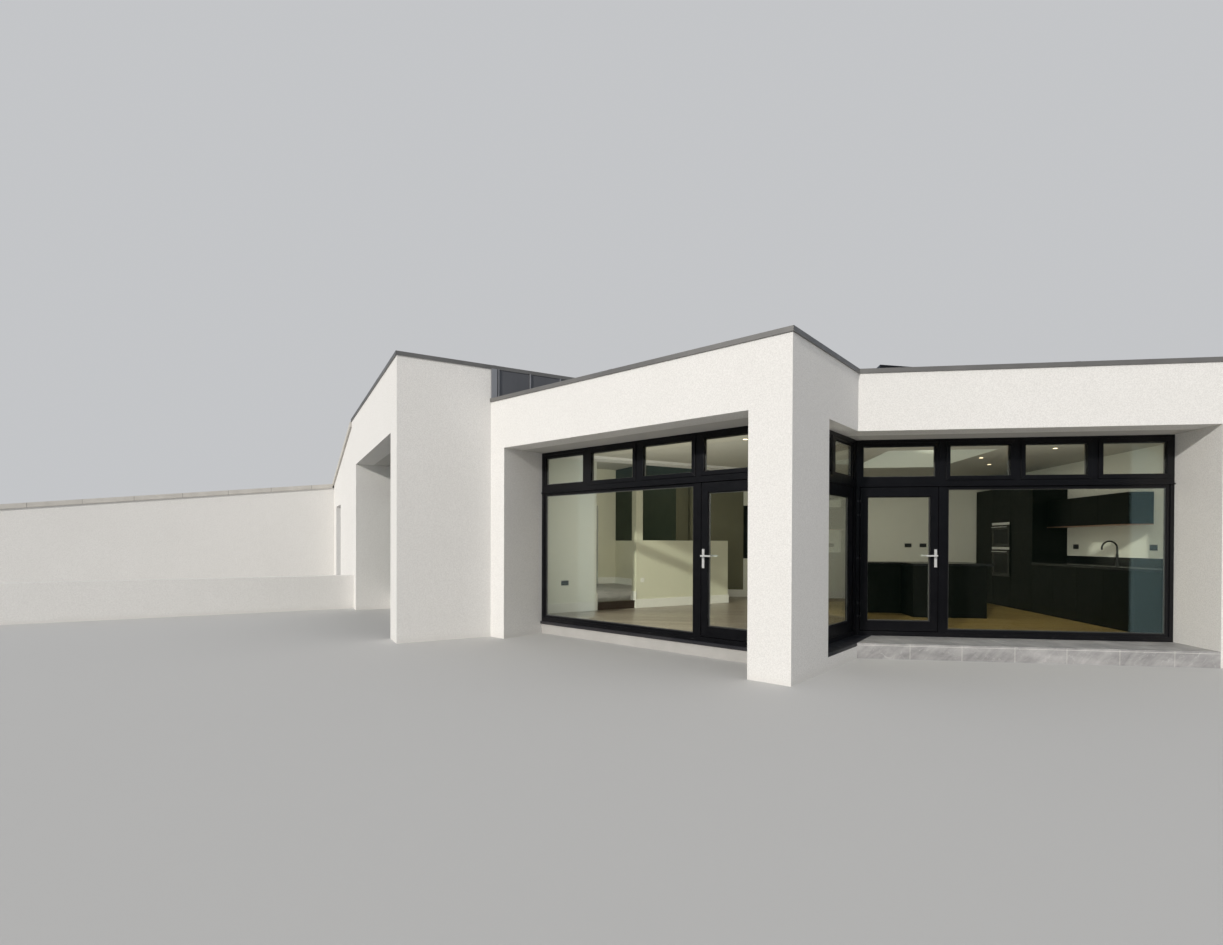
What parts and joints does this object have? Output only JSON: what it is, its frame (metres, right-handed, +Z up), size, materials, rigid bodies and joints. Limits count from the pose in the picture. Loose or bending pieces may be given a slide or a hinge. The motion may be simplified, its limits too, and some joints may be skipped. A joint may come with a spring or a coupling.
{
  "type": "detached house",
  "caption": "Single-storey detached house in angled white-rendered blocks, with recessed dark-framed glazing, metal parapet caps and rendered garden walls.",
  "frame": {"origin": "centre of the foot of the pier at the front corner", "axes": "+X along the kitchen front to the right as seen from the garden, +Y into the house, +Z up"},
  "size_m": [23.7022, 10.5298, 4.27],
  "materials": {
    "render": "smooth white masonry render",
    "dark_frame": "black powder coat",
    "cap_metal": "grey folded metal",
    "zinc": "dark standing seam zinc",
    "glass": "clear",
    "slate": "blue grey riven tile",
    "cill_metal": "dark metal cill",
    "concrete": "cast concrete coping",
    "membrane": "grey roof membrane",
    "timber": "dark oiled boards",
    "plaster": "pale painted plaster",
    "handle_metal": "satin",
    "units": "near black matt fronts",
    "worktop": "dark honed stone",
    "oven": "black glass front",
    "tap_metal": "matt black",
    "slab": "concrete slab"
  },
  "bodies": {
    "house": {"back_wall": "render", "back_window_frames": "dark_frame", "clerestory_wall": "render", "corner_pier": "render", "door_hinges": "dark_frame", "door_step": "slate", "floor_slab": "slab", "garden_copings": "concrete", "garden_wall": "render", "half_wall": "plaster", "inner_wall": "plaster", "kitchen_fascia": "render", "kitchen_pier": "render", "kitchen_tap": "tap_metal", "kitchen_units": "units", "kitchen_window_frame": "dark_frame", "kitchen_worktop": "worktop", "left_pier": "render", "loggia_fascia": "render", "loggia_piers": "render", "loggia_plinth": "render", "loggia_window_frame": "dark_frame", "low_wall": "render", "main_cap": "cap_metal", "main_fascia": "render", "main_roof": "membrane", "ovens": "oven", "raking_wall": "render", "recess_soffits": "render", "return_base_wall": "render", "return_cill": "cill_metal", "return_fascia": "render", "return_window_frame": "dark_frame", "rooflight_glass": "glass", "rooflight_kerb": "dark_frame", "side_wall": "render", "tall_cap": "cap_metal", "tall_end_wall": "render", "tall_front_wall": "render", "tall_rear_wall": "render", "tall_roof": "membrane", "terrace_window_frame": "dark_frame", "timber_floor": "timber", "window_cills": "cill_metal", "window_glass": "glass", "zinc_cladding": "zinc"},
    "terrace_door": {"terrace_door": "dark_frame", "terrace_door_glass": "glass", "terrace_door_plates": "handle_metal"},
    "terrace_lever": {"terrace_door_lever": "handle_metal"},
    "kitchen_door": {"kitchen_door": "dark_frame", "kitchen_door_glass": "glass", "kitchen_door_plates": "handle_metal"},
    "kitchen_lever": {"kitchen_door_lever": "handle_metal"}
  },
  "joints": [
    {"name": "terrace_door_swing", "type": "hinge", "parent": "house", "child": "terrace_door", "pos_m": [-0.10802, 0.3825, 0.26], "axis": [0, 0, 1], "range_deg": [0, 90]},
    {"name": "terrace_lever_turn", "type": "hinge", "parent": "terrace_door", "child": "terrace_lever", "pos_m": [-0.93266, 0.92584, 1.304], "axis": [0.5417, 0.8406, 0], "range_deg": [0, 40], "stiffness_Nm_per_rad": 1.5, "springref_deg": -28.65},
    {"name": "kitchen_door_swing", "type": "hinge", "parent": "house", "child": "kitchen_door", "pos_m": [1.23908, 1.82755, 0.26], "axis": [0, 0, -1], "range_deg": [0, 90]},
    {"name": "kitchen_lever_turn", "type": "hinge", "parent": "kitchen_door", "child": "kitchen_lever", "pos_m": [2.22958, 1.83755, 1.304], "axis": [0, -1, 0], "range_deg": [0, 40], "stiffness_Nm_per_rad": 1.5, "springref_deg": -28.65}
  ]
}
